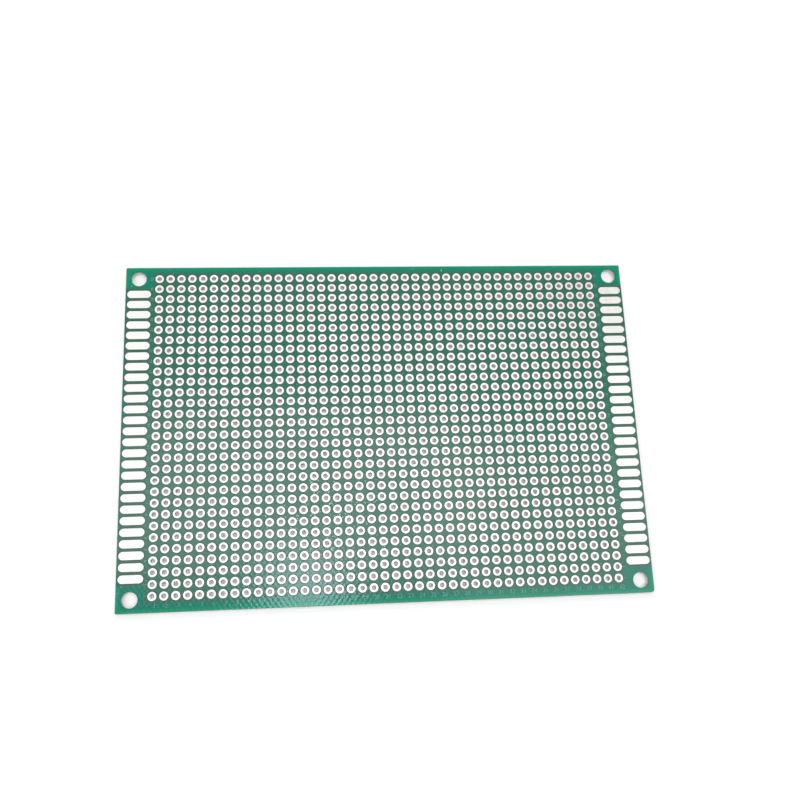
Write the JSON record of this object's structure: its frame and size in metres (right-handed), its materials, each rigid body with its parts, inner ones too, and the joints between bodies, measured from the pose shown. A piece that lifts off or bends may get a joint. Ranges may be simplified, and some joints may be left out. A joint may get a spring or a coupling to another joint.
{
  "type": "prototype circuit board",
  "caption": "Flat rectangular prototyping board of green laminate with a square grid of plated through-holes, oblong tinned edge lands and plain corner mounting holes.",
  "frame": {"origin": "under the middle of the board, on the plane that its lower pads rest on", "axes": "+X along the long side, +Y along the short side, +Z out of the upper face"},
  "size_m": [0.12, 0.08, 0.0016],
  "materials": {
    "fr4_green": "glass-fibre laminate under glossy green solder mask",
    "tinned_copper": "bright hot-air-levelled tin on copper"
  },
  "bodies": {
    "root": {"laminate": "fr4_green", "edge_lands_left_top": "tinned_copper", "edge_lands_left_bottom": "tinned_copper", "edge_lands_right_top": "tinned_copper", "edge_lands_right_bottom": "tinned_copper", "eyelet_row_01": "tinned_copper", "eyelet_row_02": "tinned_copper", "eyelet_row_03": "tinned_copper", "eyelet_row_04": "tinned_copper", "eyelet_row_05": "tinned_copper", "eyelet_row_06": "tinned_copper", "eyelet_row_07": "tinned_copper", "eyelet_row_08": "tinned_copper", "eyelet_row_09": "tinned_copper", "eyelet_row_10": "tinned_copper", "eyelet_row_11": "tinned_copper", "eyelet_row_12": "tinned_copper", "eyelet_row_13": "tinned_copper", "eyelet_row_14": "tinned_copper", "eyelet_row_15": "tinned_copper", "eyelet_row_16": "tinned_copper", "eyelet_row_17": "tinned_copper", "eyelet_row_18": "tinned_copper", "eyelet_row_19": "tinned_copper", "eyelet_row_20": "tinned_copper", "eyelet_row_21": "tinned_copper", "eyelet_row_22": "tinned_copper", "eyelet_row_23": "tinned_copper", "eyelet_row_24": "tinned_copper", "eyelet_row_25": "tinned_copper", "eyelet_row_26": "tinned_copper", "eyelet_row_27": "tinned_copper", "eyelet_row_28": "tinned_copper", "eyelet_row_29": "tinned_copper", "eyelet_row_30": "tinned_copper"}
  },
  "joints": []
}
